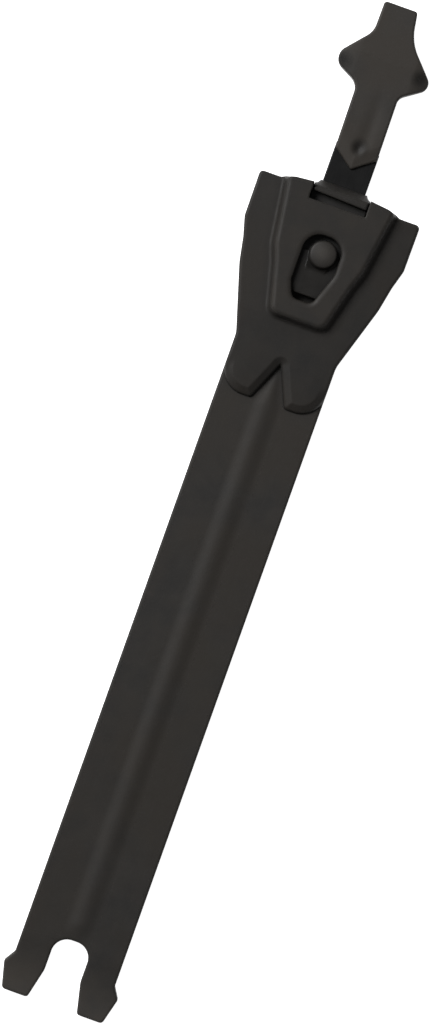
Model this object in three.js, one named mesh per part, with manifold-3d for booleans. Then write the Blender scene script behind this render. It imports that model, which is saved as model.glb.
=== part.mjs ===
// A spudger: a flat forked pry bar, a flared head at its other end, and an arrow-tipped probe that slides
// out of the head. A thumb button in an oval slot carries the probe: press it down, then slide it.
//
// Millimetres. X is across the tool, Y along it from the fork to the probe's tip, and Z up from its flat
// back. Places along the tool are stations, measured from the end of the fork.
// The finished tool is centred on its length and stands on Z = 0.

import * as THREE from "three";
import { mergeVertices } from "three/addons/utils/BufferGeometryUtils.js";
import Module from "manifold-3d";

const wasm = await Module();
wasm.setup();

// ---------------------------------------------------------------- driving dimensions

const LENGTH = 150; // whole tool, fork end to probe tip
const STATIC_GAP = 0.05; // between pieces that are fastened together
const SLIDE_GAP = 0.1; // between pieces that slide on each other

const BAR = { half: 7.5, top: 2.4, forkTop: 1.9, end: 94.1, tangHalf: 6.4, tangEnd: 100.7 };
const NOTCH = { half: 2.68, base: 9.75, round: 2.3, flareStart: 4.5, flareHalf: 3.72 };
const BARB = { half: 8.55, shoulder: 3.9, start: 5.6, endHalf: 7.55 };
const RIB = { half: 2.2, height: 0.3, start: 9.9, fade: 3, end: 95.9, taper: 5.7 };

const HEAD = { half: 12, lobes: 90.6, lobeApex: 96.3, wingTop: 121.45, crown: 122.3 };
const BACK = { start: 94.3, top: 1.3 };
const SHELL = { base: BACK.top + STATIC_GAP, lobeTop: 3.3, top: 3.8, edgeTop: 3.6, panelTop: 5.3 };
const PANEL = { start: 102.45, startHalf: 4.25, half: 8, run: 0.6 };
const SLOT = { left: -2.6, right: 2.85, end: 115.5, round: 2.4 };
const SLOT_END = { left: -1.7, right: 1.15, start: 105.8, leftWaist: 108.2, rightWaist: 110.6 };
const SLOT_RIM = { width: 0.25, depth: 0.2 };

const POCKET = { half: 4.5, start: 102.4, end: 119.85, top: 3.85, lowTop: 2.7, lowEnd: 105.6 };
const TAIL_ROOM = { half: 3.2, start: 103.75, end: 113.4, top: 4.4 };
const MOUTH = { half: 4.2, start: POCKET.end, lip: 121, nose: 123.1, noseHalf: 3.45, top: 4.7, shelf: 3.5 };
const MOUTH_FLANGE = { start: 119.4, top: 3.6 };

const CORE = { bottom: 1.4, top: 2.2, half: 3.2, tangHalf: 4.2, start: 106, shoulder: 119.1, end: 129 };
const TENON = { half: 1.9, end: 136 };
const TIP = { middle: 1.8, thick: 1.1, edge: 0.35, half: 3.13, chevron: 125.7, arms: 128.1, thins: 142 };
const GROOVE = { half: 0.7, start: 128.6, end: 136.5, depth: 0.2 };
const CARRIAGE = { half: 4.4, start: 105.6, block: 108.6, end: 119, bottom: 2.25, plateTop: 2.6, top: 3.8 };
const WELL = { half: 3.4, end: 116.6, round: 3.3 };
const BUTTON = { x: 0.4, station: 112.95, radius: 2, edgeTop: 5.1, top: 5.5 };
const FLANGE = { radius: 3.2, bottom: 3.25, top: 3.75 };
const TAIL = { left: -2.75, right: 3.05, start: 106.7, rampStart: 109.7, rampEnd: 111.9, low: 4.3, top: 5 };
const SPRING = { radius: 1.05, wire: 0.15, turns: 4, boreRadius: 1.4, boreTop: 4.3 };
const RIVET = { radius: 0.6, headRadius: 0.9, headThick: 0.3, sunk: 0.02, station: 117.7 };
const RIVET_SIDES = [-3.3, 3.3];
const SCREW = { radius: 1, headRadius: 1.8, sunk: 0.1, coneTop: 0.9, end: 2.95, bossRadius: 1.75 };
const RECESS = { long: 2, wide: 0.45, depth: 0.5 }; // the cross in a screw's head
const WING_SCREWS = [[-9, 117.4], [9, 117.4]];
const TANG_SCREWS = [[-3.6, 97.6], [3.6, 97.6]];
const SCREW_PLACES = [...WING_SCREWS, ...TANG_SCREWS];

const ARC_STEP = THREE.MathUtils.degToRad(15);
const ROUND_SIDES = 24;
const DOME_RINGS = 6;
const EASE = 0.25; // rounding of the moulded edges
const EASE_STEPS = 2;
const WELD = 1e-5; // corners closer than this are one corner
const FAR = 40; // reach of a cutting solid that passes right through
const BEFORE = -1; // stations clear of the tool's two ends
const PAST = LENGTH + 1;

// ---------------------------------------------------------------- materials

const plastic = (color, roughness) => new THREE.MeshStandardMaterial({ color, roughness, metalness: 0 });
const metal = (color, roughness) => new THREE.MeshStandardMaterial({ color, roughness, metalness: 1 });
const BLACK_NYLON = plastic(0x33312e, 0.55);
const BLACK_ACETAL = plastic(0x292826, 0.4);
const BUTTON_NYLON = plastic(0x3b3a38, 0.45);
const BLACKENED_STEEL = metal(0x1f1e1c, 0.45);
const SCREW_STEEL = metal(0x2c2b2a, 0.35);
const SPRING_STEEL = metal(0x9a9a98, 0.3);

// ---------------------------------------------------------------- outlines

// The points of a closed outline through corners [x, y, radius], each corner rounded by an arc.
function roundedOutline(corners) {
  const points = [];
  corners.forEach(([x, y, radius], i) => {
    const corner = new THREE.Vector2(x, y);
    if (!radius) {
      points.push(corner);
      return;
    }
    const [backX, backY] = corners.at(i - 1);
    const [aheadX, aheadY] = corners[(i + 1) % corners.length];
    const back = new THREE.Vector2(backX - x, backY - y).normalize();
    const ahead = new THREE.Vector2(aheadX - x, aheadY - y).normalize();
    const half = Math.acos(THREE.MathUtils.clamp(back.dot(ahead), -1, 1)) / 2;
    const inward = back.clone().add(ahead).normalize();
    const centre = inward.multiplyScalar(radius / Math.sin(half)).add(corner);
    const first = back.clone().multiplyScalar(radius / Math.tan(half)).add(corner);
    const sweep = Math.sign(back.cross(ahead)) * (2 * half - Math.PI);
    const steps = Math.max(1, Math.ceil(Math.abs(sweep) / ARC_STEP));
    for (let k = 0; k <= steps; k++) {
      points.push(first.clone().rotateAround(centre, (sweep * k) / steps));
    }
  });
  return new THREE.Shape(points);
}

// The outline whose right half, from the lowest corner to the highest, is given; the left half mirrors it.
function mirroredOutline(rightHalf) {
  const leftHalf = rightHalf.filter(([x]) => x > 0).map(([x, y, radius]) => [-x, y, radius]).reverse();
  return roundedOutline([...rightHalf, ...leftHalf]);
}

const rectangle = (half, start, end, radius = 0) =>
  roundedOutline([[half, start, radius], [half, end, radius], [-half, end, radius], [-half, start, radius]]);

const stadium = (half, start, end) => rectangle(half, start, end, half - 0.001);

// The head's right side, from the neck to the wing's top corner.
const headSide = [
  [BAR.half, 98.6, 4],
  [10.45, 108.2, 8],
  [11.15, 111.8, 2.5],
  [HEAD.half - 0.05, 114.6, 1.5],
  [HEAD.half, HEAD.wingTop, 0.6],
];

// The head's top edge, from the wing in to the middle, which stands a little proud.
const headTop = [
  [9, HEAD.wingTop, 1.2],
  [6.9, HEAD.crown - 0.25, 1.2],
  [4.3, HEAD.crown, 0],
];

// ---------------------------------------------------------------- solids

function solid(geometry) {
  const bare = geometry.index ? geometry.toNonIndexed() : geometry.clone();
  bare.deleteAttribute("normal");
  bare.deleteAttribute("uv");
  const merged = mergeVertices(bare, WELD);
  const vertProperties = merged.attributes.position.array;
  const triVerts = new Uint32Array(merged.index.array);
  return new wasm.Manifold(new wasm.Mesh({ numProp: 3, vertProperties, triVerts }));
}

const union = (...solids) => solids.reduce((joined, next) => joined.add(next));
const without = (body, ...cuts) => cuts.reduce((left, cut) => left.subtract(cut), body);

// An outline in X and Y, raised from one height to another.
function raised(outline, bottom, top) {
  const geometry = new THREE.ExtrudeGeometry(outline, { depth: top - bottom, bevelEnabled: false });
  return solid(geometry.translate(0, 0, bottom));
}

// The same with its top and bottom edges eased, by so much inwards and so much down the side.
function eased(outline, bottom, top, inwards, down = inwards) {
  const geometry = new THREE.ExtrudeGeometry(outline, {
    depth: top - bottom - 2 * down,
    bevelSize: inwards,
    bevelOffset: -inwards,
    bevelThickness: down,
    bevelSegments: EASE_STEPS,
  });
  return solid(geometry.translate(0, 0, bottom + down));
}

const shapeOf = (corners) => new THREE.Shape(corners.map(([u, v]) => new THREE.Vector2(u, v)));

// A side view, drawn as [station, height] corners, carried right across the tool.
function acrossWidth(corners) {
  const geometry = new THREE.ExtrudeGeometry(shapeOf(corners), { depth: 2 * FAR, bevelEnabled: false });
  const turn = new THREE.Matrix4().makeBasis(
    new THREE.Vector3(0, 1, 0),
    new THREE.Vector3(0, 0, 1),
    new THREE.Vector3(1, 0, 0),
  );
  return solid(geometry.applyMatrix4(turn).translate(-FAR, 0, 0));
}

// An end view, an outline in X and Z, carried along the whole tool.
function alongLength(outline) {
  const geometry = new THREE.ExtrudeGeometry(outline, { depth: PAST - BEFORE, bevelEnabled: false });
  return solid(geometry.rotateX(Math.PI / 2).translate(0, PAST, 0));
}

const block = (half, start, end, bottom, top) => raised(rectangle(half, start, end), bottom, top);

// A solid of revolution about a vertical axis at (x, y), from a profile of [radius, height] corners.
function turned(profile, x, y) {
  const points = profile.map(([r, z]) => new THREE.Vector2(r, z));
  const geometry = new THREE.LatheGeometry(points, ROUND_SIDES);
  return solid(geometry.rotateX(Math.PI / 2).translate(x, y, 0));
}

const peg = (radius, x, y, bottom, top) =>
  turned([[0, bottom], [radius, bottom], [radius, top], [0, top]], x, y);

function named(name, body, material) {
  const mesh = body.getMesh();
  const geometry = new THREE.BufferGeometry();
  geometry.setAttribute("position", new THREE.BufferAttribute(mesh.vertProperties, 3));
  geometry.setIndex(new THREE.BufferAttribute(mesh.triVerts, 1));
  geometry.computeVertexNormals();
  const made = new THREE.Mesh(geometry, material);
  made.name = name;
  return made;
}

// ---------------------------------------------------------------- the handle: bar, shells, guide and screws

function pryBar() {
  const fork = mirroredOutline([
    [NOTCH.half, NOTCH.base, NOTCH.round],
    [NOTCH.half, NOTCH.flareStart, 2.5],
    [NOTCH.flareHalf, 0, 0.5],
    [BARB.endHalf, 0, 0.6],
    [BARB.half, BARB.shoulder, 0.5],
    [BAR.half, BARB.start, 0.8],
    [BAR.half, BAR.end, 0],
    [BAR.tangHalf, BAR.end, 0],
    [BAR.tangHalf, BAR.tangEnd, 0.6],
  ]);
  const plate = eased(fork, 0, BAR.top, EASE);
  const sideView = acrossWidth([
    [BEFORE, 0],
    [BAR.end, 0],
    [BAR.end, SHELL.base],
    [PAST, SHELL.base],
    [PAST, BAR.top + 1],
    [BARB.start + 1, BAR.top + 1],
    [BARB.start, BAR.top],
    [BEFORE, BAR.forkTop],
  ]);
  const holes = TANG_SCREWS.map(([x, y]) => peg(SCREW.bossRadius + SLIDE_GAP, x, y, 0, FAR));
  return without(plate.intersect(sideView).add(barRib()), ...holes);
}

// The low rounded ridge along the middle of the bar. It fades out at the fork and is pointed at the head.
function barRib() {
  const radius = (RIB.half ** 2 + RIB.height ** 2) / (2 * RIB.height);
  const sweep = Math.asin(RIB.half / radius);
  const crown = new THREE.Shape();
  crown.moveTo(-RIB.half, BAR.top - 1);
  crown.lineTo(RIB.half, BAR.top - 1);
  crown.absarc(0, BAR.top + RIB.height - radius, radius, Math.PI / 2 - sweep, Math.PI / 2 + sweep, false);
  const plan = mirroredOutline([
    [RIB.half, RIB.start, 0],
    [RIB.half, RIB.end - RIB.taper, 0],
    [0, RIB.end, 0],
  ]);
  const sideView = acrossWidth([
    [RIB.start, BAR.top - 1],
    [RIB.end, BAR.top - 1],
    [RIB.end, BAR.top + RIB.height],
    [RIB.start + RIB.fade, BAR.top + RIB.height],
    [RIB.start, BAR.top],
  ]);
  return alongLength(crown).intersect(raised(plan, 0, FAR)).intersect(sideView);
}

function frontShell() {
  const outline = mirroredOutline([
    [0, HEAD.lobeApex, 0],
    [2.45, HEAD.lobes, 0.7],
    [BAR.half, HEAD.lobes, 3.6],
    ...headSide,
    ...headTop,
  ]);
  const outer = raised(outline, SHELL.base, SHELL.panelTop);
  const sideView = acrossWidth([
    [BEFORE, 0],
    [PAST, 0],
    [PAST, SHELL.top],
    [PANEL.start, SHELL.top],
    [HEAD.lobes, SHELL.lobeTop],
    [BEFORE, SHELL.lobeTop],
  ]);
  const wingView = shapeOf([
    [-HEAD.half, 0],
    [HEAD.half, 0],
    [HEAD.half, SHELL.edgeTop],
    [PANEL.half, SHELL.top],
    [-PANEL.half, SHELL.top],
    [-HEAD.half, SHELL.edgeTop],
  ]);
  const wings = outer.intersect(sideView).intersect(alongLength(wingView));
  const body = union(wings, raisedPanel().intersect(outer));
  return without(body, ...shellCavities(), ...shellOpenings());
}

// The panel round the slot, raised on steep sloped walls.
function raisedPanel() {
  const outline = mirroredOutline([
    [PANEL.startHalf, PANEL.start, 1.8],
    [6.15, 109.8, 3],
    [7, 112.2, 3],
    [8.6, HEAD.crown + 1, 0],
  ]);
  const wall = SHELL.panelTop - SHELL.top;
  return eased(outline, SHELL.base - wall, SHELL.panelTop, PANEL.run, wall);
}

// The hollows inside the shell: over the bar, for its tang, for the carriage and the button's tail, and for
// the screws.
function shellCavities() {
  const { half, start, end, top, lowTop, lowEnd } = POCKET;
  const bosses = TANG_SCREWS.map(([x, y]) => peg(SCREW.bossRadius, x, y, 0, FAR));
  const overBar = BAR.top + STATIC_GAP;
  const tangRoom = block(BAR.tangHalf + STATIC_GAP, HEAD.lobes, BAR.tangEnd + STATIC_GAP, 0, overBar);
  return [
    block(FAR, BEFORE, BACK.start, 0, overBar),
    without(tangRoom, ...bosses),
    block(half, start, end, 0, lowTop),
    block(half, lowEnd, end, 0, top),
    block(TAIL_ROOM.half, TAIL_ROOM.start, TAIL_ROOM.end, 0, TAIL_ROOM.top),
    ...SCREW_PLACES.map(([x, y]) => peg(SCREW.radius + STATIC_GAP, x, y, 0, SCREW.end + SLIDE_GAP)),
  ];
}

// The slot's outline: round at the top, with sides that slant in to a narrower lower end.
function slotOutline(wider) {
  const start = SLOT_END.start - wider;
  const end = SLOT.end + wider;
  return roundedOutline([
    [SLOT_END.left - wider, start, 1.1],
    [SLOT_END.right + wider, start, 1.1],
    [SLOT.right + wider, SLOT_END.rightWaist, 2],
    [SLOT.right + wider, end, SLOT.round],
    [SLOT.left - wider, end, SLOT.round],
    [SLOT.left - wider, SLOT_END.leftWaist, 1.5],
  ]);
}

// What shows in the shell's top: the slot with its stepped rim, and the mouth that the guide fills.
function shellOpenings() {
  return [
    raised(slotOutline(0), SHELL.top - 1, FAR),
    raised(slotOutline(SLOT_RIM.width), SHELL.panelTop - SLOT_RIM.depth, FAR),
    block(MOUTH.half, MOUTH.start, PAST, 0, FAR),
  ];
}

function backPlate() {
  const outline = mirroredOutline([[BAR.half, BACK.start, 0.4], ...headSide, ...headTop]);
  const plate = eased(outline, 0, 2 * BACK.top, EASE).intersect(raised(outline, 0, BACK.top));
  return without(plate, ...SCREW_PLACES.map(screwSink));
}

// The countersunk hole that a screw sits in.
function screwSink([x, y]) {
  const headRoom = SCREW.headRadius + SLIDE_GAP;
  const shankRoom = SCREW.radius + SLIDE_GAP;
  const profile = [
    [0, -1],
    [headRoom, -1],
    [headRoom, STATIC_GAP],
    [shankRoom, SCREW.coneTop + STATIC_GAP],
    [shankRoom, FAR],
    [0, FAR],
  ];
  return turned(profile, x, y);
}

// The bridge over the probe at the head's mouth: a lip, a shelf behind it, and a flange inside the shell.
function mouthGuide() {
  const neckHalf = MOUTH.half - STATIC_GAP;
  const nose = mirroredOutline([
    [neckHalf, MOUTH_FLANGE.start, 0],
    [neckHalf, HEAD.crown + STATIC_GAP, 0],
    [MOUTH.noseHalf + 0.3, HEAD.crown + 0.25, 0.5],
    [MOUTH.noseHalf, MOUTH.nose, 0],
  ]);
  const flangeEnd = MOUTH.start - STATIC_GAP;
  const flange = block(POCKET.half - SLIDE_GAP, MOUTH_FLANGE.start, flangeEnd, SHELL.base, MOUTH_FLANGE.top);
  return without(
    union(raised(nose, SHELL.base, MOUTH.top), flange),
    block(FAR, BEFORE, flangeEnd, MOUTH_FLANGE.top, FAR),
    block(FAR, flangeEnd, MOUTH.lip, MOUTH.shelf, FAR),
    block(CORE.half + SLIDE_GAP, BEFORE, PAST, 0, CORE.top + SLIDE_GAP),
  );
}

function shellScrew(name, [x, y]) {
  const { radius, headRadius, sunk, coneTop, end } = SCREW;
  const point = 0.3;
  const profile = [
    [0, sunk],
    [headRadius, sunk],
    [radius, coneTop],
    [radius, end - point],
    [radius - point, end],
    [0, end],
  ];
  const { long, wide, depth } = RECESS;
  const arm = (across, along) => solid(new THREE.BoxGeometry(across, along, 2 * depth).translate(x, y, sunk));
  const recess = union(arm(long, wide), arm(wide, long));
  return named(name, without(turned(profile, x, y), recess), SCREW_STEEL);
}

// ---------------------------------------------------------------- the probe and its carriage

const rivetHoles = () => RIVET_SIDES.map((x) => peg(RIVET.radius + STATIC_GAP, x, RIVET.station, 0, FAR));

// The steel strip inside the probe: a wide tang in the head, a bare neck, and a tenon inside the tip.
function probeCore() {
  const outline = mirroredOutline([
    [CORE.tangHalf, CORE.start, 0.5],
    [CORE.tangHalf, CORE.shoulder, 0],
    [CORE.half, CORE.shoulder, 0],
    [CORE.half, CORE.end, 0],
    [TENON.half, CORE.end, 0],
    [TENON.half, TENON.end, 0.5],
  ]);
  return without(raised(outline, CORE.bottom, CORE.top), ...rivetHoles());
}

// The moulded tip: a stem with chevron ends over the steel, two barbs, and a chisel end that leans a little.
function probeTip() {
  const { middle, thick, edge, half, chevron, arms, thins } = TIP;
  const outline = roundedOutline([
    [0, chevron, 0.3],
    [half, arms, 0],
    [3, 137.6, 1.5],
    [7.1, 140.35, 1.4],
    [2.15, 145.65, 7],
    [1.5, LENGTH, 0.45],
    [-3.45, LENGTH, 0.5],
    [-3.5, 145.3, 3],
    [-8.05, 140.05, 1.75],
    [-3.28, 137.6, 2],
    [-half, arms, 0],
  ]);
  const sideView = acrossWidth([
    [BEFORE, middle - thick],
    [thins, middle - thick],
    [PAST, middle - edge],
    [PAST, middle + edge],
    [thins, middle + thick],
    [BEFORE, middle + thick],
  ]);
  const low = CORE.bottom - STATIC_GAP;
  const high = CORE.top + STATIC_GAP;
  return without(
    eased(outline, middle - thick, middle + thick, EASE).intersect(sideView),
    block(FAR, BEFORE, CORE.end + STATIC_GAP, low, high),
    block(TENON.half + STATIC_GAP, BEFORE, TENON.end + STATIC_GAP, low, high),
    raised(stadium(GROOVE.half, GROOVE.start, GROOVE.end), middle + thick - GROOVE.depth, FAR),
  );
}

// A plate on the steel strip with a horseshoe block on it, open to the rear, in which the button sits.
function carriage() {
  const { half, start, block: blockStart, end, bottom, plateTop, top } = CARRIAGE;
  const plate = raised(rectangle(half, start, end, 0.4), bottom, plateTop);
  const well = roundedOutline([
    [BUTTON.x + WELL.half, BEFORE, 0],
    [BUTTON.x + WELL.half, WELL.end, WELL.round],
    [BUTTON.x - WELL.half, WELL.end, WELL.round],
    [BUTTON.x - WELL.half, BEFORE, 0],
  ]);
  const headSink = top - RIVET.sunk - RIVET.headThick - STATIC_GAP;
  const headRoom = RIVET.headRadius + STATIC_GAP;
  return without(
    union(plate, block(half, blockStart, end, bottom, top)),
    raised(well, plateTop, FAR),
    peg(SPRING.boreRadius, BUTTON.x, BUTTON.station, 0, FAR),
    ...rivetHoles(),
    ...RIVET_SIDES.map((x) => peg(headRoom, x, RIVET.station, headSink, FAR)),
  );
}

function carriageRivet(name, x) {
  const { radius, headRadius, headThick, sunk, station } = RIVET;
  const top = CARRIAGE.top - sunk;
  const under = top - headThick;
  const profile = [
    [0, CORE.bottom],
    [radius, CORE.bottom],
    [radius, under],
    [headRadius, under],
    [headRadius, top],
    [0, top],
  ];
  return named(name, turned(profile, x, station), SPRING_STEEL);
}

// ---------------------------------------------------------------- the button and its spring

// A domed round pad that shows in the slot, on a flange that the shell's roof keeps in.
function thumbButton() {
  const { x, station, radius, edgeTop, top } = BUTTON;
  const sag = top - edgeTop;
  const crownRadius = (radius ** 2 + sag ** 2) / (2 * sag);
  const dome = [];
  for (let k = DOME_RINGS; k >= 0; k--) {
    const r = (radius * k) / DOME_RINGS;
    dome.push([r, top - crownRadius + Math.sqrt(crownRadius ** 2 - r ** 2)]);
  }
  const profile = [
    [0, FLANGE.bottom],
    [FLANGE.radius, FLANGE.bottom],
    [FLANGE.radius, FLANGE.top],
    [radius, FLANGE.top],
    ...dome,
  ];
  const bore = peg(SPRING.boreRadius, x, station, 0, SPRING.boreTop);
  return without(turned(profile, x, station).add(buttonTail()), bore);
}

// The pad's tail: a plate that closes the slot and slides under the roof at its lower end, and a ramp
// that runs down to it from the pad.
function buttonTail() {
  const { left, right, start, low, rampStart, rampEnd, top } = TAIL;
  const plate = roundedOutline([
    [left, start, 1.2],
    [right, start, 1.2],
    [right, BUTTON.station, 0],
    [left, BUTTON.station, 0],
  ]);
  const ramp = roundedOutline([
    [-1.4, start + 0.5, 0.9],
    [0.9, start + 0.5, 0.9],
    [1.65, 110.6, 1],
    [2.1, BUTTON.station, 0],
    [-1.4, BUTTON.station, 0],
  ]);
  const sideView = acrossWidth([
    [BEFORE, FLANGE.bottom],
    [PAST, FLANGE.bottom],
    [PAST, top],
    [rampEnd, top],
    [rampStart, low],
    [BEFORE, low],
  ]);
  return union(raised(plate, FLANGE.bottom, low), raised(ramp, 0, FAR).intersect(sideView));
}

class Helix extends THREE.Curve {
  constructor(radius, turns, x, y, bottom, top) {
    super();
    Object.assign(this, { radius, turns, x, y, bottom, top });
  }

  getPoint(t, target = new THREE.Vector3()) {
    const angle = 2 * Math.PI * this.turns * t;
    return target.set(
      this.x + this.radius * Math.cos(angle),
      this.y + this.radius * Math.sin(angle),
      THREE.MathUtils.lerp(this.bottom, this.top, t),
    );
  }
}

function buttonSpring() {
  const { radius, wire, turns, boreTop } = SPRING;
  const bottom = CORE.top + wire + STATIC_GAP;
  const top = boreTop - wire - STATIC_GAP;
  const extrudePath = new Helix(radius, turns, BUTTON.x, BUTTON.station, bottom, top);
  const section = new THREE.Shape().absarc(0, 0, wire, 0, 2 * Math.PI);
  const settings = { steps: turns * 14, curveSegments: 4, extrudePath, bevelEnabled: false };
  return solid(new THREE.ExtrudeGeometry(section, settings));
}

// ---------------------------------------------------------------- assembly

const handle = new THREE.Group();
handle.add(
  named("pry_bar", pryBar(), BLACK_NYLON),
  named("front_shell", frontShell(), BLACK_NYLON),
  named("back_plate", backPlate(), BLACK_NYLON),
  named("mouth_guide", mouthGuide(), BLACK_ACETAL),
  ...SCREW_PLACES.map((place, i) => shellScrew(`shell_screw_${i + 1}`, place)),
);

const button = new THREE.Group();
button.add(named("thumb_button", thumbButton(), BUTTON_NYLON));

const probe = new THREE.Group();
probe.add(
  named("probe_core", probeCore(), BLACKENED_STEEL),
  named("probe_tip", probeTip(), BLACK_NYLON),
  named("carriage", carriage(), BLACK_ACETAL),
  ...RIVET_SIDES.map((x, i) => carriageRivet(`carriage_rivet_${i + 1}`, x)),
  named("button_spring", buttonSpring(), SPRING_STEEL),
  button,
);

const spudger = new THREE.Group();
spudger.add(handle, probe);
spudger.position.y = -LENGTH / 2;

export default spudger;
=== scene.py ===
"""The looks of a black moulded spudger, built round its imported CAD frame.

Every shape is a field: a function of (x, s, z) in millimetres that is negative inside the plastic. x is
across the tool, s is the station along it from the end of the fork, and z is the height over its flat back.
Fields are joined, cut and rounded as formulas, and surface_net() turns each one into a mesh whose corners
lie on it.
"""

import math

import bpy
import numpy as np
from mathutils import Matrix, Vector


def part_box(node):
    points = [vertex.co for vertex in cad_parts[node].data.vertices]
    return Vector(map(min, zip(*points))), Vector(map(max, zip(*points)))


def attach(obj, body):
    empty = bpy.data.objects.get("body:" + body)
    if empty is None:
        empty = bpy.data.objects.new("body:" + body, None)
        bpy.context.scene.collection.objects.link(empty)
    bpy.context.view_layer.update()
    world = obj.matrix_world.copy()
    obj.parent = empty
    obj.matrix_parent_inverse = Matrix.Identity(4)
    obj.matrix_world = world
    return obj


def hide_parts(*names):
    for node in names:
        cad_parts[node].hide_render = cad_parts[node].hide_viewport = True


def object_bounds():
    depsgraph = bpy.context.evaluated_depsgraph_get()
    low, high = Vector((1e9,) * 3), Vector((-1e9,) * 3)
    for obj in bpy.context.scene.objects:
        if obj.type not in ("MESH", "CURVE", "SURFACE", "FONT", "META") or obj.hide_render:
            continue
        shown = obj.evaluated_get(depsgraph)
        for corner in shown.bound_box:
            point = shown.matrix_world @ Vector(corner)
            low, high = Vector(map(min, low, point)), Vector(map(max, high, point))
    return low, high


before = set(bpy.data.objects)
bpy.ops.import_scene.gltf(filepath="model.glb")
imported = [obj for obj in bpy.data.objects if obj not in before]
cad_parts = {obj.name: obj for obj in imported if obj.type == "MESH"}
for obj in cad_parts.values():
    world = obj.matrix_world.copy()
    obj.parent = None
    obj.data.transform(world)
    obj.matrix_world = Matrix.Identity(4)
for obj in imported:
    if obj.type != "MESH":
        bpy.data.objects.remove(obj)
cad_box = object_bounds()

# ---------------------------------------------------------------- sizes, in millimetres

MM = 0.001
FORK_END = cad_box[0].y / MM  # where station 0 lies in the frame
LENGTH = (cad_box[1].y - cad_box[0].y) / MM
GAP = 0.05  # between pieces that are fastened together
SLIDE_GAP = 0.1  # between pieces that slide on each other

BAR_HALF, BAR_TOP, BAR_END = 7.5, 2.4, 94.1
TANG_HALF, TANG_END, TANG_BOTTOM = 6.4, 100.7, 1.35
FORK_TOP, FORK_THINS, BARB_START = 1.9, 9, 5.6
RIB_HALF, RIB_HEIGHT, RIB_START, RIB_FADE, RIB_END, RIB_TAPER = 2.2, 0.23, 9.6, 3, 95.9, 5.7

LOBES, LOBE_APEX, WING_TOP, CROWN = 90.6, 96.3, 121.45, 122.3
BACK_START, BACK_TOP = 94.3, 1.3
SHELL_BASE = BACK_TOP + GAP
LOBE_Z, SHELL_Z, WING_EDGE_Z, PANEL_Z = 3.3, 3.8, 3.6, 5.3
PANEL_START, PANEL_RUN = 102.45, 0.6
DISH_WIDE, DISH_DEEP = 0.25, 0.2
WING_DROOP_START, WING_DROOP_RUN = 4, 10
BEVEL_WIDE, BEVEL_DEEP, BEVEL_END, BEVEL_FADE = 1.2, 0.55, 95.5, 3  # along the lobes' ends
NOTCH_BEVEL_HALF, NOTCH_BEVEL_END = 3.5, 100.45  # and round the notch between them

POCKET_HALF, POCKET_START, POCKET_END = 4.5, 102.4, 119.85
POCKET_TOP, POCKET_LOW_TOP, POCKET_LOW_END = 3.85, 2.7, 105.6
TAIL_ROOM_HALF, TAIL_ROOM_START, TAIL_ROOM_END, TAIL_ROOM_TOP = 3.2, 103.75, 113.4, 4.4
MOUTH_HALF, MOUTH_START, LIP_START, NOSE_END = 4.2, 119.85, 121, 123.1
LIP_Z, SHELF_Z, MOUTH_FLANGE_START, MOUTH_FLANGE_Z = 4.7, 3.5, 119.4, 3.6
LIP_LEAN = 0.04  # how far the lip's edge moves along the tool for each millimetre across it
NOSE_SLOPE_START, NOSE_SLOPE_RISE, NOSE_SLOPE_RUN = 121.9, 1.6, 0.9

CORE_BOTTOM, CORE_TOP, CORE_HALF, CORE_TANG_HALF = 1.4, 2.2, 3.2, 4.2
CORE_START, CORE_SHOULDER, CORE_END = 106, 119.1, 129
TENON_HALF, TENON_END = 1.9, 136
TIP_MIDDLE, TIP_THICK, TIP_EDGE, TIP_HALF = 1.8, 1.1, 0.35, 3.13
CHEVRON, CHEVRON_ARMS, CHEVRON_SINK, CHEVRON_RUN = 125.7, 128.1, 0.25, 2.5
TIP_THINS, SLEEVE_START = 142, 120
DROOP_LEFT, DROOP_RIGHT, DROOP_X, DROOP_START, DROOP_RUN = 0.2, 0.55, -0.2, 4, 2.4
GROOVE_X, GROOVE_DEEP, GROOVE_START, GROOVE_RISE, GROOVE_END, GROOVE_FADE = 0.6, 0.12, 128, 2, 140, 8
LOBE_DENT = ((5.4, 141.1), (1, 0.8), 0.2)  # where, how wide and long, how deep
CHEVRON_DIMPLE = ((0, 128.9), (0.65, 0.9), 0.3)

CARRIAGE_HALF, CARRIAGE_START, CARRIAGE_BLOCK, CARRIAGE_END = 4.4, 105.6, 108.6, 119
CARRIAGE_BOTTOM, CARRIAGE_FLOOR, CARRIAGE_TOP = 2.25, 2.6, 3.8
WELL_HALF, WELL_START, WELL_END = 3.4, 100, 116.6  # it is open towards the fork
BUTTON_X, BUTTON_S, BUTTON_R, BUTTON_EDGE_Z, BUTTON_Z = 0.4, 112.95, 2.0, 5.28, 5.5
FLANGE_R, FLANGE_BOTTOM, FLANGE_TOP = 3.2, 3.25, 3.75
TAIL_START, TAIL_PLATE_Z = 106.7, 4.3
RAMP_START, RAMP_END, RAMP_FOOT_Z, RAMP_TOP_Z = 109.9, 112.1, 4.15, 5.0
BORE_R, BORE_TOP = 1.4, 4.3
RIVET_R, RIVET_HEAD_R, RIVET_X, RIVET_S, RIVET_SEAT = 0.6, 0.9, 3.3, 117.7, 3.43
SCREW_R, SCREW_HEAD_R, SCREW_SUNK, SCREW_CONE_TOP, SCREW_END, BOSS_R = 1.0, 1.8, 0.1, 0.9, 2.95, 1.75
THREAD_DEEP, THREAD_PITCH = 0.06, 0.5
CROSS_HALF, CROSS_LONG, CROSS_BOTTOM, CROSS_TAPER = 0.26, 1.05, 0.65, 0.3
TANG_SCREWS = [(-3.6, 97.6), (3.6, 97.6)]
SCREWS = [(-9, 117.4), (9, 117.4), *TANG_SCREWS]

ARC_STEP = math.radians(6)

# ---------------------------------------------------------------- outlines


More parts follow.
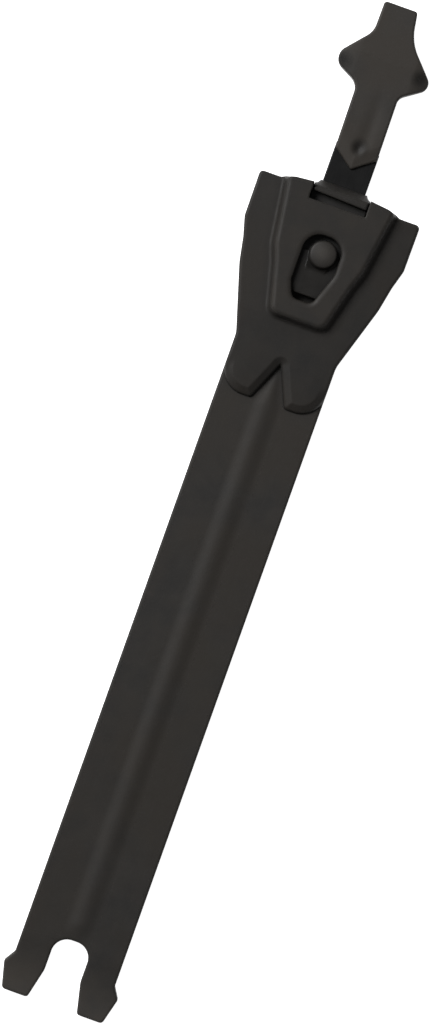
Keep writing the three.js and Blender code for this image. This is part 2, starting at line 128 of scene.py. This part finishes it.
def outline(corners):
    """The points of a closed outline through corners (x, s, radius), each corner rounded by an arc."""
    points = []
    for i, (x, s, radius) in enumerate(corners):
        corner = np.array([x, s], float)
        if not radius:
            points.append(corner)
            continue
        back = np.array(corners[i - 1][:2]) - corner
        ahead = np.array(corners[(i + 1) % len(corners)][:2]) - corner
        back, ahead = back / np.linalg.norm(back), ahead / np.linalg.norm(ahead)
        half = math.acos(np.clip(back @ ahead, -1, 1)) / 2
        inward = (back + ahead) / np.linalg.norm(back + ahead)
        centre = corner + inward * radius / math.sin(half)
        first = corner + back * radius / math.tan(half) - centre
        turn = back[0] * ahead[1] - back[1] * ahead[0]
        sweep = math.copysign(math.pi - 2 * half, -turn)
        steps = max(1, math.ceil(abs(sweep) / ARC_STEP))
        for k in range(steps + 1):
            c, d = math.cos(sweep * k / steps), math.sin(sweep * k / steps)
            points.append(centre + (c * first[0] - d * first[1], d * first[0] + c * first[1]))
    return np.array(points)


def mirrored(right_half):
    """The outline whose right half, from its lowest corner to its highest, is given."""
    left_half = [(-x, s, radius) for x, s, radius in reversed(right_half) if x > 0]
    return outline([*right_half, *left_half])


HEAD_SIDE = [
    (BAR_HALF, 98.6, 4),
    (10.45, 108.2, 8),
    (11.15, 111.8, 2.5),
    (11.95, 114.6, 1.5),
    (12, WING_TOP, 0.6),
]
HEAD_TOP = [(9, WING_TOP, 1.2), (6.9, CROWN - 0.25, 1.2), (4.3, CROWN, 0)]

BAR = mirrored([
    (2.68, 9.75, 2.3),
    (2.68, 4.5, 2.5),
    (3.72, 0, 0.5),
    (7.55, 0, 0.6),
    (8.55, 3.9, 0.5),
    (BAR_HALF, BARB_START, 0.8),
    (BAR_HALF, BAR_END, 0),
    (TANG_HALF, BAR_END, 0),
    (TANG_HALF, TANG_END, 0.6),
])
SHELL = mirrored([(0, LOBE_APEX, 0), (2.45, LOBES, 0.7), (BAR_HALF, LOBES, 3.6), *HEAD_SIDE, *HEAD_TOP])
BACK = mirrored([(BAR_HALF, BACK_START, 0.4), *HEAD_SIDE, *HEAD_TOP])
PANEL = mirrored([
    (4.25, PANEL_START, 1.8),
    (6.15, 109.8, 3),
    (7, 112.2, 3),
    (8.6, CROWN + 1, 0),
])
SLOT = outline([
    (-1.7, 105.8, 1.1),
    (1.15, 105.8, 1.1),
    (2.85, 110.6, 2),
    (2.85, 115.5, 2.4),
    (-2.6, 115.5, 2.4),
    (-2.6, 108.2, 1.5),
])
NOSE = mirrored([
    (MOUTH_HALF - GAP, MOUTH_FLANGE_START, 0),
    (MOUTH_HALF - GAP, CROWN, 0),
    (3.75, CROWN + 0.25, 0.6),
    (3.45, NOSE_END, 0),
])
CORE = mirrored([
    (CORE_TANG_HALF, CORE_START, 0.5),
    (CORE_TANG_HALF, CORE_SHOULDER, 0),
    (CORE_HALF, CORE_SHOULDER, 0),
    (CORE_HALF, CORE_END, 0),
    (TENON_HALF, CORE_END, 0),
    (TENON_HALF, TENON_END, 0.5),
])
TIP = outline([
    (0, CHEVRON, 0.3),
    (TIP_HALF, CHEVRON_ARMS, 0),
    (3, 137.6, 1.5),
    (7.1, 140.35, 1.4),
    (2.15, 145.65, 7),
    (1.5, LENGTH, 0.45),
    (-3.45, LENGTH, 0.5),
    (-3.5, 145.3, 3),
    (-8.05, 140.05, 1.75),
    (-3.28, 137.6, 2),
    (-TIP_HALF, CHEVRON_ARMS, 0),
])
TAIL_PLATE = outline([
    (-2.75, TAIL_START, 1.2),
    (3.05, TAIL_START, 1.2),
    (3.05, BUTTON_S, 0),
    (-2.75, BUTTON_S, 0),
])
RAMP = outline([
    (-1.4, TAIL_START + 0.5, 0.9),
    (0.9, TAIL_START + 0.5, 0.9),
    (1.65, 110.6, 1),
    (2.1, BUTTON_S, 0),
    (-1.4, BUTTON_S, 0),
])
WELL = outline([
    (BUTTON_X + WELL_HALF, WELL_START, 0),
    (BUTTON_X + WELL_HALF, WELL_END, WELL_HALF - 0.1),
    (BUTTON_X - WELL_HALF, WELL_END, WELL_HALF - 0.1),
    (BUTTON_X - WELL_HALF, WELL_START, 0),
])

# ---------------------------------------------------------------- field arithmetic


def within(points, x, s):
    """Signed distance from (x, s) to a closed outline, negative inside it."""
    nearest = np.full(np.broadcast(x, s).shape, np.inf)
    inside = np.zeros(nearest.shape, bool)
    for (ax, ay), (bx, by) in zip(points, np.roll(points, -1, axis=0)):
        ex, ey, wx, wy = bx - ax, by - ay, x - ax, s - ay
        t = np.clip((wx * ex + wy * ey) / (ex * ex + ey * ey), 0, 1)
        nearest = np.minimum(nearest, (wx - ex * t) ** 2 + (wy - ey * t) ** 2)
        inside ^= ((ay <= s) != (by <= s)) & ((wx * ey - wy * ex) * np.sign(ey) < 0)
    return np.where(inside, -1, 1) * np.sqrt(nearest)


def both(a, b, radius=0.0):
    """What is inside both fields, with the edge where they meet rounded."""
    outside = np.hypot(np.maximum(a + radius, 0), np.maximum(b + radius, 0))
    return np.minimum(np.maximum(a, b), -radius) + outside


def either(a, b, radius=0.0):
    """What is inside either field, with a fillet where they meet."""
    return -both(-a, -b, radius)


def without(a, cut, radius=0.0):
    return both(a, -cut, radius)


def box(x, s, z, half, start, end, bottom, top):
    """An upright block, as the largest of its six sides' distances."""
    return np.maximum.reduce(np.broadcast_arrays(np.abs(x) - half, start - s, s - end, bottom - z, z - top))


def ease(t):
    """A smooth step from 0 at t = 0 to 1 at t = 1."""
    t = np.clip(t, 0, 1)
    return t * t * (3 - 2 * t)


def hollow(x, s, centre, size, depth):
    """The depth of a soft dent round a centre (x, s)."""
    return depth * np.exp(-(((x - centre[0]) / size[0]) ** 2) - ((s - centre[1]) / size[1]) ** 2)


# ---------------------------------------------------------------- the pieces as fields


def pry_bar(x, s, z):
    edge = within(BAR, x, s)
    ridge_half = RIB_HALF * np.clip((RIB_END - s) / RIB_TAPER, 0.02, 1)
    ridge = 0.5 + 0.5 * np.cos(np.pi * np.clip(np.abs(x) / ridge_half, 0, 1))
    ridge = ridge * RIB_HEIGHT * ease((s - RIB_START) / RIB_FADE) * ease((RIB_END - s) / RIB_TAPER)
    wedge = (BAR_TOP - FORK_TOP) * ease(1 - s / FORK_THINS)
    top = BAR_TOP + ridge - wedge
    body = both(both(edge, z - top, 0.3), -z, 0.25)
    for px, ps in TANG_SCREWS:
        body = without(body, np.hypot(x - px, s - ps) - BOSS_R - SLIDE_GAP)
    return np.maximum(body, np.minimum(s - BAR_END, TANG_BOTTOM - z))


def screw_holes(body, x, s, z):
    for px, ps in SCREWS:
        hole = np.maximum(np.hypot(x - px, s - ps) - SCREW_R - GAP, z - SCREW_END - SLIDE_GAP)
        body = without(body, hole)
    return body


def front_shell(x, s, z):
    edge = within(SHELL, x, s)
    across = ease((np.abs(x) - WING_DROOP_START) / WING_DROOP_RUN)
    along = LOBE_Z + (SHELL_Z - LOBE_Z) * np.clip((s - LOBES) / (PANEL_START - LOBES), 0, 1)
    round_notch = ease(NOTCH_BEVEL_HALF - np.abs(x)) * (s < NOTCH_BEVEL_END)
    bevelled = np.maximum(ease((BEVEL_END - s) / BEVEL_FADE), round_notch)
    bevel = BEVEL_DEEP * bevelled * np.clip(1 + edge / BEVEL_WIDE, 0, 1)
    wing = both(edge, z - along + bevel + (SHELL_Z - WING_EDGE_Z) * across, 0.4)
    rise = PANEL_Z - SHELL_Z
    wall = (rise * within(PANEL, x, s) + PANEL_RUN * (z - SHELL_Z)) / math.hypot(rise, PANEL_RUN)
    pad = both(both(wall, z - PANEL_Z, 0.4), edge, 0.35)
    body = both(either(wing, pad, 0.35), SHELL_BASE - z, 0.1)
    body = np.maximum(body, np.minimum(BACK_START - s, BAR_TOP + GAP - z))
    tang_room = box(x, s, z, TANG_HALF + GAP, LOBES, TANG_END + GAP, 0, BAR_TOP + GAP)
    for px, ps in TANG_SCREWS:
        tang_room = without(tang_room, np.hypot(x - px, s - ps) - BOSS_R)
    body = without(body, tang_room)
    body = without(body, box(x, s, z, POCKET_HALF, POCKET_START, POCKET_END, 0, POCKET_LOW_TOP))
    body = without(body, box(x, s, z, POCKET_HALF, POCKET_LOW_END, POCKET_END, 0, POCKET_TOP))
    body = without(body, box(x, s, z, TAIL_ROOM_HALF, TAIL_ROOM_START, TAIL_ROOM_END, 0, TAIL_ROOM_TOP))
    body = screw_holes(body, x, s, z)
    slot = within(SLOT, x, s)
    dish = (DISH_DEEP * (slot - DISH_WIDE) - DISH_WIDE * (z - PANEL_Z)) / math.hypot(DISH_WIDE, DISH_DEEP)
    body = without(without(body, slot, 0.12), dish, 0.3)
    mouth = np.maximum(np.abs(x) - MOUTH_HALF, MOUTH_START - s)
    return without(body, mouth, 0.12)


def back_plate(x, s, z):
    body = both(both(within(BACK, x, s), -z, 0.35), z - BACK_TOP, 0.08)
    slope = (SCREW_HEAD_R - SCREW_R) / (SCREW_CONE_TOP - 0.05)
    for px, ps in SCREWS:
        r = np.hypot(x - px, s - ps)
        cone = (r - SCREW_HEAD_R - 0.1 + slope * (z - 0.05)) / math.hypot(1, slope)
        body = without(body, np.minimum(cone, r - SCREW_R - 0.1), 0.06)
    return body


def mouth_guide(x, s, z):
    nose = both(within(NOSE, x, s), z - LIP_Z, 0.4)
    front = (s - NOSE_SLOPE_START) * NOSE_SLOPE_RISE + (z - LIP_Z) * NOSE_SLOPE_RUN
    front = front / math.hypot(NOSE_SLOPE_RISE, NOSE_SLOPE_RUN)
    nose = both(nose, front, 0.3)
    nose = without(nose, np.maximum(s - LIP_START + LIP_LEAN * x, SHELF_Z - z), 0.1)
    flange_end = MOUTH_START - GAP
    flange_half = POCKET_HALF - SLIDE_GAP
    flange = box(x, s, z, flange_half, MOUTH_FLANGE_START, flange_end, SHELL_BASE, MOUTH_FLANGE_Z)
    body = both(np.minimum(nose, flange), SHELL_BASE - z, 0.08)
    strip_room = np.maximum(np.abs(x) - CORE_HALF - SLIDE_GAP, z - CORE_TOP - SLIDE_GAP)
    return without(body, strip_room + 0 * s, 0.08)


def shell_screw(px, ps):
    def field(x, s, z):
        r = np.hypot(x - px, s - ps)
        slope = (SCREW_HEAD_R - SCREW_R) / (SCREW_CONE_TOP - SCREW_SUNK)
        cone = (r - SCREW_HEAD_R + slope * (z - SCREW_SUNK)) / math.hypot(1, slope)
        turn = 2 * np.pi * z / THREAD_PITCH - np.arctan2(s - ps, x - px)
        thread = THREAD_DEEP * (0.5 + 0.5 * np.cos(turn))
        shank = both(r - SCREW_R + thread, z - SCREW_END, 0.2)
        body = both(np.minimum(np.maximum(cone, z - SCREW_CONE_TOP), shank), SCREW_SUNK - z, 0.06)
        for across, over in ((x - px, s - ps), (s - ps, x - px)):
            taper = CROSS_TAPER * (z - SCREW_SUNK)
            arm = np.maximum(np.abs(across) - CROSS_HALF + taper, np.abs(over) - CROSS_LONG + taper)
            body = without(body, np.maximum(arm, z - CROSS_BOTTOM), 0.04)
        return body

    return field


def probe_core(x, s, z):
    body = both(both(within(CORE, x, s), z - CORE_TOP, 0.12), CORE_BOTTOM - z, 0.12)
    for px in (-RIVET_X, RIVET_X):
        body = without(body, np.hypot(x - px, s - RIVET_S) - RIVET_R - GAP)
    return body


def probe_tip(x, s, z):
    edge = within(TIP, x, s)
    thin = TIP_THICK - (TIP_THICK - TIP_EDGE) * np.clip((s - TIP_THINS) / (LENGTH - TIP_THINS), 0, 1)
    outwards = np.clip((np.abs(x - DROOP_X) - DROOP_START) / DROOP_RUN, 0, 1)
    droop = np.where(x > 0, DROOP_RIGHT, DROOP_LEFT) * outwards**1.5
    groove = GROOVE_DEEP * np.exp(-((x - GROOVE_X) ** 2))
    groove = groove * ease((s - GROOVE_START) / GROOVE_RISE) * ease((GROOVE_END - s) / GROOVE_FADE)
    arms = s - CHEVRON - (CHEVRON_ARMS - CHEVRON) / TIP_HALF * np.abs(x)
    thin_end = CHEVRON_SINK * ease(1 - arms / CHEVRON_RUN)
    dents = hollow(x, s, *LOBE_DENT) + hollow(x, s, *CHEVRON_DIMPLE)
    top = TIP_MIDDLE + thin - droop - dents - groove - thin_end
    body = both(both(edge, z - top, 0.32), TIP_MIDDLE - thin + droop - z, 0.3)
    sleeve = box(x, s, z, TIP_HALF + 1, SLEEVE_START, CORE_END + GAP, CORE_BOTTOM - GAP, CORE_TOP + GAP)
    socket = box(x, s, z, TENON_HALF + GAP, SLEEVE_START, TENON_END + GAP, CORE_BOTTOM - GAP, CORE_TOP + GAP)
    return without(without(body, sleeve), socket)


def carriage(x, s, z):
    plate = box(x, s, z, CARRIAGE_HALF, CARRIAGE_START, CARRIAGE_END, CARRIAGE_BOTTOM, CARRIAGE_FLOOR)
    block = box(x, s, z, CARRIAGE_HALF, CARRIAGE_BLOCK, CARRIAGE_END, CARRIAGE_BOTTOM, CARRIAGE_TOP)
    block = without(block, np.maximum(within(WELL, x, s), CARRIAGE_FLOOR - z), 0.1)
    body = np.minimum(plate, block)
    body = without(body, np.hypot(x - BUTTON_X, s - BUTTON_S) - BORE_R, 0.06)
    for px in (-RIVET_X, RIVET_X):
        r = np.hypot(x - px, s - RIVET_S)
        head_room = np.maximum(r - RIVET_HEAD_R - GAP, RIVET_SEAT - z)
        body = without(body, np.minimum(r - RIVET_R - GAP, head_room))
    return body


def thumb_button(x, s, z):
    r = np.hypot(x - BUTTON_X, s - BUTTON_S)
    sag = BUTTON_Z - BUTTON_EDGE_Z
    sphere_r = (BUTTON_R**2 + sag**2) / (2 * sag)
    dome = np.hypot(r, z - BUTTON_Z + sphere_r) - sphere_r
    pad = both(r - BUTTON_R, dome, 0.3)
    climb = ease((s - RAMP_START) / (RAMP_END - RAMP_START))
    ramp = RAMP_FOOT_Z + (RAMP_TOP_Z - RAMP_FOOT_Z) * climb
    tail = both(within(RAMP, x, s), z - ramp, 0.2)
    flange = both(r - FLANGE_R, z - FLANGE_TOP, 0.08)
    plate = both(within(TAIL_PLATE, x, s), z - TAIL_PLATE_Z, 0.15)
    body = either(either(pad, tail, 0.3), plate, 0.1)
    body = both(either(body, flange, 0.05), FLANGE_BOTTOM - z, 0.08)
    return without(body, np.maximum(r - BORE_R, z - BORE_TOP))


# ---------------------------------------------------------------- fields to meshes


def surface_net(field, low, high, cell):
    """The corners and four-sided faces of the surface where a field is zero, with one corner to a cell."""
    cell = np.array(cell, float)
    origin = np.array(low, float) - 2.3 * cell
    count = np.ceil((np.array(high) - origin) / cell).astype(int) + 3
    grid = [origin[a] + cell[a] * np.arange(count[a]) for a in range(3)]
    value = np.broadcast_to(field(*np.meshgrid(*grid, indexing="ij", sparse=True)), count)
    inside = value < 0
    total = np.zeros((*(count - 1), 3))
    hits = np.zeros(count - 1)
    crossings = []
    for axis in range(3):
        before = [slice(None)] * 3
        after = [slice(None)] * 3
        before[axis], after[axis] = slice(None, -1), slice(1, None)
        a, b = value[tuple(before)], value[tuple(after)]
        crossed = inside[tuple(before)] != inside[tuple(after)]
        crossings.append((crossed, inside[tuple(before)]))
        along = np.where(crossed, a / np.where(crossed, a - b, 1), 0)
        others = [k for k in range(3) if k != axis]
        for corner in ((0, 0), (0, 1), (1, 0), (1, 1)):
            part = [slice(None)] * 3
            for k, step in zip(others, corner):
                part[k] = slice(step, count[k] - 1 + step)
            hit = crossed[tuple(part)]
            hits += hit
            total[..., axis] += along[tuple(part)]
            for k, step in zip(others, corner):
                total[..., k] += step * hit
    active = hits > 0
    points = origin + cell * (np.argwhere(active) + total[active] / hits[active][:, None])
    number = np.full(count - 1, -1)
    number[active] = np.arange(len(points))
    faces = []
    for axis, (crossed, solid_first) in enumerate(crossings):
        where = np.argwhere(crossed)
        u, v = np.eye(3, dtype=int)[(axis + 1) % 3], np.eye(3, dtype=int)[(axis + 2) % 3]
        quad = np.stack([number[tuple((where - step).T)] for step in (u + v, v, 0 * u, u)], axis=1)
        faces.append(np.where(solid_first[crossed][:, None], quad, quad[:, ::-1]))
    return points, np.concatenate(faces)


def settle(points, field, reach, rounds=3, nudge=0.01):
    """Moves corners along the field's slope until they lie on its surface, by at most reach each time."""
    for _ in range(rounds):
        value = field(*points.T)
        slope = np.stack([field(*(points + nudge * step).T) - value for step in np.eye(3)], axis=1) / nudge
        size = np.maximum((slope**2).sum(1), 0.05)
        move = -slope * (value / size)[:, None]
        length = np.maximum(np.linalg.norm(move, axis=1), 1e-9)
        points = points + move * np.minimum(1, reach / length)[:, None]
    return points


def make(name, field, node, cell, body, material):
    """A piece that stands for a CAD node, meshed inside that node's box."""
    low, high = (np.array(corner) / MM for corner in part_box(node))
    low[1], high[1] = low[1] - FORK_END, high[1] - FORK_END
    points, faces = surface_net(field, low, high, cell)
    points = settle(points, field, 0.4 * min(cell))
    points[:, 1] += FORK_END
    mesh = bpy.data.meshes.new(name)
    mesh.from_pydata((points * MM).tolist(), [], faces.tolist())
    mesh.shade_smooth()
    mesh.materials.append(material)
    piece = bpy.data.objects.new(name, mesh)
    bpy.context.scene.collection.objects.link(piece)
    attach(piece, body)
    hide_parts(node)
    return piece


# ---------------------------------------------------------------- materials


class Shader:
    """A material's nodes, with short calls for the few kinds that are used here."""

    def __init__(self, name):
        self.material = bpy.data.materials.new(name)
        self.material.use_nodes = True
        self.tree = self.material.node_tree
        self.surface = self.tree.nodes["Principled BSDF"]
        self.place = self.node("ShaderNodeTexCoord").outputs["Object"]

    def node(self, kind, settings=None, **inputs):
        made = self.tree.nodes.new(kind)
        for key, value in (settings or {}).items():
            setattr(made, key, value)
        for key, value in inputs.items():
            self.set(made.inputs[key.replace("_", " ")], value)
        return made

    def set(self, socket, value):
        if isinstance(value, bpy.types.NodeSocket):
            self.tree.links.new(value, socket)
        else:
            socket.default_value = value

    def along(self, axis, low_mm, high_mm):
        """How far along X, Y or Z of the frame a point lies, from 0 at low_mm to 1 at high_mm."""
        place = self.node("ShaderNodeSeparateXYZ", Vector=self.place).outputs[axis]
        return self.spread(place, low_mm * MM, high_mm * MM)

    def beyond(self, spot, near_mm, far_mm):
        """How far a point lies from a spot (x, s, z), from 0 at near_mm to 1 at far_mm."""
        x, s, z = spot
        centre = (x * MM, (s + FORK_END) * MM, z * MM)
        reach = self.node("ShaderNodeVectorMath", {"operation": "DISTANCE"})
        self.set(reach.inputs[0], self.place)
        reach.inputs[1].default_value = centre
        return self.spread(reach.outputs["Value"], near_mm * MM, far_mm * MM)

    def noise(self, size_mm, detail=3, stretch=(1, 1, 1)):
        """Soft noise whose blotches are about size_mm across, from 0 to 1."""
        mapping = self.node("ShaderNodeMapping", Vector=self.place, Scale=stretch)
        scale = 1 / (size_mm * MM)
        made = self.node("ShaderNodeTexNoise", Vector=mapping.outputs[0], Scale=scale, Detail=detail)
        return made.outputs["Fac"]

    def nearness(self, reach_mm, inside=False):
        """How far a point sits in a corner, or with inside how near it is to an outer edge, from 0 to 1."""
        settings = {"samples": 8, "inside": inside}
        open_part = self.node("ShaderNodeAmbientOcclusion", settings, Distance=reach_mm * MM)
        return self.spread(open_part.outputs["AO"], 1.0, 0.45)

    def spread(self, value, low, high, start=0.0, end=1.0):
        """value from low..high carried to start..end."""
        inputs = {"From_Min": low, "From_Max": high, "To_Min": start, "To_Max": end}
        return self.node("ShaderNodeMapRange", Value=value, **inputs).outputs[0]

    def mix(self, amount, a, b):
        made = self.node("ShaderNodeMix", {"data_type": "RGBA"})
        self.set(made.inputs[0], amount)
        self.set(made.inputs[6], a)
        self.set(made.inputs[7], b)
        return made.outputs[2]

    def bump(self, height, depth_mm, strength=1.0, over=None):
        made = self.node("ShaderNodeBump", Height=height, Distance=depth_mm * MM, Strength=strength)
        if over:
            self.set(made.inputs["Normal"], over)
        return made.outputs[0]

    def finish(self, color, roughness, normal, **fixed):
        self.set(self.surface.inputs["Base Color"], color)
        self.set(self.surface.inputs["Roughness"], roughness)
        self.set(self.surface.inputs["Normal"], normal)
        for key, value in fixed.items():
            self.surface.inputs[key.replace("_", " ")].default_value = value
        return self.material


def grey(level, warm=0.0):
    """A near-neutral colour; warm takes it towards brown."""
    return (level * (1 + warm), level, level * (1 - warm), 1)


def moulded_plastic(name, level, roughness=0.55, grain=1.0, painted_ramp=None, painted_spots=()):
    """Black moulded plastic: mottled, finely grained and scratched, darker at its edges and in its corners.

    The darkening at its edges and in its corners is painted shade. The ramp, if given, is (axis, low_mm,
    high_mm, level): painted light or shade takes the plastic to that level beyond high_mm. Each spot is
    (centre, near_mm, far_mm, level): painted shade or a painted highlight takes it to that level round the
    centre.
    """
    m = Shader(name)
    mottle = m.spread(m.noise(3.5, 4), 0.35, 0.65)
    color = m.mix(mottle, grey(level * 0.9, 0.05), grey(level * 1.1, 0.09))
    tint = m.spread(m.noise(11, 2), 0.38, 0.62)
    color = m.mix(tint, color, grey(level * 1.03, 0.14))
    # Painted light or shade: the colour ramps to another level along one axis.
    if painted_ramp:
        axis, low, high, painted_level = painted_ramp
        ramp_tone = m.mix(mottle, grey(painted_level * 0.92, 0.08), grey(painted_level * 1.08, 0.13))
        color = m.mix(m.along(axis, low, high), color, ramp_tone)
    # Painted shade or a painted highlight round each spot.
    for centre, near, far, painted_level in painted_spots:
        color = m.mix(m.beyond(centre, near, far), grey(painted_level, 0.1), color)
    speck = m.spread(m.noise(0.25, 2), 0.56, 0.72, 0, 0.3)
    color = m.mix(speck, color, grey(level * 1.4, 0.08))
    scratch = m.spread(m.noise(0.5, 2, (5, 0.12, 5)), 0.6, 0.72, 0, 0.25)
    color = m.mix(scratch, color, grey(level * 1.35, 0.08))
    # Painted shade: darker near outer edges and in corners.
    color = m.mix(m.nearness(0.35, inside=True), color, grey(level * 0.5, 0.2))
    color = m.mix(m.nearness(1.6), color, grey(level * 0.7, 0.05))
    dull = m.spread(m.noise(1.6, 4), 0.3, 0.7, roughness - 0.05, roughness + 0.06)
    fine = m.bump(m.noise(0.16, 3), 0.01 * grain)
    normal = m.bump(m.noise(0.9, 3), 0.016 * grain, 0.6, fine)
    return m.finish(color, dull, normal, Specular_IOR_Level=0.2)


def blackened_steel(name, level):
    """Spring steel with a dark oxide: fine grinding marks along it under patches of oil."""
    m = Shader(name)
    grind = m.noise(0.3, 3, (6, 0.15, 6))
    patches = m.spread(m.noise(2.2, 4), 0.4, 0.62)
    color = m.mix(patches, grey(level, -0.02), grey(level * 1.9, -0.01))
    dull = m.spread(grind, 0.3, 0.7, 0.38, 0.6)
    return m.finish(color, dull, m.bump(grind, 0.006), Metallic=0.6)


def oiled_steel(name, level):
    """Dark machined steel for the screws and rivets."""
    m = Shader(name)
    color = m.mix(m.spread(m.noise(0.8, 4), 0.35, 0.65), grey(level * 0.7), grey(level * 1.25))
    dull = m.spread(m.noise(0.2, 3), 0.3, 0.7, 0.28, 0.48)
    return m.finish(color, dull, m.bump(m.noise(0.12, 2), 0.004), Metallic=1.0)


# ---------------------------------------------------------------- the tool

# Painted light: the bar's colour lightens towards the fork's tips.
nylon = moulded_plastic("black_nylon", 0.0225, painted_ramp=("Y", FORK_END + 7.5, FORK_END + 1.5, 0.038))
# Painted shade: a dark patch round the chevron's dimple and dark patches on the arrow's two lobes.
dimple_shade = ((0.2, 129.1, 2.7), 0.3, 1.6, 0.009)
lobe_shade = [((5, 141, 2.3), 0.5, 1.7, 0.013), ((-6.3, 140, 2.2), 0.6, 1.9, 0.006)]
tip_nylon = moulded_plastic("tip_nylon", 0.029, painted_spots=[dimple_shade, *lobe_shade])
# Painted light and shade by height: the raised panel lighter, the wings and recesses below it darker.
shell_nylon = moulded_plastic("shell_nylon", 0.0178, painted_ramp=("Z", 3.9, 5.1, 0.0205))
acetal = moulded_plastic("black_acetal", 0.019, 0.5, 0.5)
# Painted shade and highlight: the button's dark colour stands in for shade on its tail in the slot, and a
# painted highlight lightens its dome.
pad_highlight = ((BUTTON_X, BUTTON_S + 0.2, BUTTON_Z), 0.5, 2.3, 0.038)
button_nylon = moulded_plastic("button_nylon", 0.0115, 0.45, 0.7, painted_spots=[pad_highlight])
steel = blackened_steel("blackened_steel", 0.0027)
hardware = oiled_steel("oiled_steel", 0.16)
wire = oiled_steel("spring_wire", 0.5)

make("bar_moulding", pry_bar, "pry_bar", (0.2, 0.2, 0.12), "handle", nylon)
make("head_cover", front_shell, "front_shell", (0.15, 0.15, 0.1), "handle", shell_nylon)
make("head_back", back_plate, "back_plate", (0.15, 0.15, 0.1), "handle", shell_nylon)
make("mouth_bridge", mouth_guide, "mouth_guide", (0.1, 0.1, 0.1), "handle", acetal)
for i, place in enumerate(SCREWS, 1):
    node = f"shell_screw_{i}"
    make(f"cover_screw_{i}", shell_screw(*place), node, (0.07, 0.07, 0.07), "handle", hardware)
make("probe_strip", probe_core, "probe_core", (0.12, 0.12, 0.08), "probe", steel)
make("probe_arrow", probe_tip, "probe_tip", (0.12, 0.12, 0.08), "probe", tip_nylon)
make("button_carriage", carriage, "carriage", (0.12, 0.12, 0.08), "probe", acetal)
make("button_cap", thumb_button, "thumb_button", (0.09, 0.09, 0.07), "button", button_nylon)

kept_as_packed = {"carriage_rivet_1": hardware, "carriage_rivet_2": hardware, "button_spring": wire}
for name, material in kept_as_packed.items():
    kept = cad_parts[name]
    kept.data.materials.clear()
    kept.data.materials.append(material)

# ---------------------------------------------------------------- floor, lights and camera

VIEW_HEIGHT = 145.1 * MM  # of the tool's plane that the picture spans
VIEW_CENTRE = Vector((-1.76 * MM, -1.32 * MM, 1.6 * MM))
VIEW_ROLL = math.radians(19.665)  # the tool leans this far clockwise in the picture
LENS, SENSOR = 150, 36


def pale_floor():
    m = Shader("pale_floor")
    color = m.mix(m.spread(m.noise(60, 3), 0.3, 0.7), grey(0.86), grey(0.9))
    glow = {"Emission_Color": (1, 1, 1, 1), "Emission_Strength": 1.0}
    dull = m.spread(m.noise(20, 3), 0.3, 0.7, 0.7, 0.8)
    material = m.finish(color, dull, m.bump(m.noise(2, 2), 0.01), **glow)
    bpy.ops.mesh.primitive_plane_add(size=8, location=(0, 0, -0.05 * MM))
    floor = bpy.context.object
    floor.name = "floor"
    floor.data.materials.append(material)


def area_light(name, azimuth, elevation, distance, size, power):
    """A square light that faces the tool; azimuth 0 is towards +Y and 90 towards -X."""
    a, e = math.radians(azimuth), math.radians(elevation)
    away = Vector((-math.sin(a) * math.cos(e), math.cos(a) * math.cos(e), math.sin(e)))
    light = bpy.data.lights.new(name, "AREA")
    light.size = size
    light.energy = power
    lamp = bpy.data.objects.new(name, light)
    lamp.location = away * distance
    lamp.rotation_euler = away.to_track_quat("Z", "Y").to_euler()
    lamp.visible_camera = False
    bpy.context.scene.collection.objects.link(lamp)


def soft_world(strength):
    world = bpy.data.worlds.new("soft_world")
    world.use_nodes = True
    back = world.node_tree.nodes["Background"]
    back.inputs["Color"].default_value = (1, 1, 1, 1)
    back.inputs["Strength"].default_value = strength
    bpy.context.scene.world = world


def camera():
    data = bpy.data.cameras.new("camera")
    data.lens, data.sensor_width = LENS, SENSOR
    made = bpy.data.objects.new("camera", data)
    made.location = VIEW_CENTRE + Vector((0, 0, VIEW_HEIGHT * LENS / SENSOR))
    made.rotation_euler = (0, 0, VIEW_ROLL)
    bpy.context.scene.collection.objects.link(made)
    bpy.context.scene.camera = made


pale_floor()
area_light("key", 65, 45, 0.9, 0.45, 9.8)
area_light("fill", 250, 60, 1.2, 0.9, 0.3)
soft_world(0.13)
camera()
bpy.context.scene.view_settings.view_transform = "Standard"
